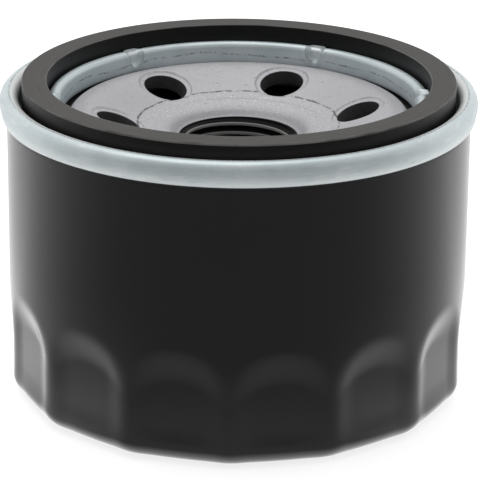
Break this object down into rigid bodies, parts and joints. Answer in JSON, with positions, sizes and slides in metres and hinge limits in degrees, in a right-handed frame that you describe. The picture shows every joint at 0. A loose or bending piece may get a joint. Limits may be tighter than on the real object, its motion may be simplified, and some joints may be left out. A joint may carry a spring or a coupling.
{
  "type": "spin-on oil filter",
  "caption": "Spin-on engine oil filter: fluted steel can, seamed lid with sealing ring, threaded base plate with inlet holes, pleated element, relief and anti-drain valves.",
  "frame": {"origin": "centre of the flat closed end of the can, so the sealing ring's free face is 53.2 mm above it", "axes": "+Z along the filter's axis, out of the threaded end; -Y is the front, +X is to the right of it"},
  "size_m": [0.0782, 0.0782, 0.0532],
  "materials": {
    "can_paint": "smooth gloss black baked enamel",
    "lid_plate": "semi-gloss zinc-plated steel",
    "plate_steel": "matt fine-grained phosphated steel, lightly oiled threads",
    "gasket_rubber": "lathe-cut black nitrile rubber, satin top face",
    "valve_rubber": "smooth moulded black nitrile rubber",
    "sealant": "grey seaming compound",
    "cap_steel": "tinplate, satin",
    "tube_steel": "plain perforated steel, satin",
    "spring_steel": "oil-tempered spring wire",
    "adhesive": "cured plastisol",
    "filter_paper": "resin-impregnated cellulose paper"
  },
  "bodies": {
    "housing": {"canister": "can_paint", "seaming_lid": "lid_plate", "seam_sealant": "sealant", "base_plate": "plate_steel", "spot_welds": "plate_steel", "gasket": "gasket_rubber", "drain_valve_hub": "valve_rubber", "drain_valve_web": "valve_rubber", "support_spring": "spring_steel"},
    "element": {"element_top_cap": "cap_steel", "element_bottom_cap": "cap_steel", "cap_adhesive_top": "adhesive", "cap_adhesive_bottom": "adhesive", "pleated_media": "filter_paper", "media_seam_clip": "cap_steel", "center_tube": "tube_steel", "bypass_cage": "cap_steel", "bypass_spring": "spring_steel"},
    "relief_valve": {"bypass_poppet": "tube_steel", "bypass_seal": "valve_rubber"},
    "drain_lip": {"drain_valve_lip": "valve_rubber"}
  },
  "joints": [
    {"name": "element_float", "type": "slide", "parent": "housing", "child": "element", "axis": [0, 0, -1], "range_m": [0, 0.0015], "stiffness_N_per_m": 3000, "springref_m": -0.01, "deforming": ["support_spring"]},
    {"name": "relief_lift", "type": "slide", "parent": "element", "child": "relief_valve", "axis": [0, 0, 1], "range_m": [0, 0.003], "stiffness_N_per_m": 1200, "springref_m": -0.008, "deforming": ["bypass_spring"]},
    {"name": "drain_lip_open", "type": "slide", "parent": "housing", "child": "drain_lip", "axis": [0, 0, -1], "range_m": [0, 0.0015], "stiffness_N_per_m": 150, "springref_m": -0.003, "deforming": ["drain_valve_web"]}
  ]
}
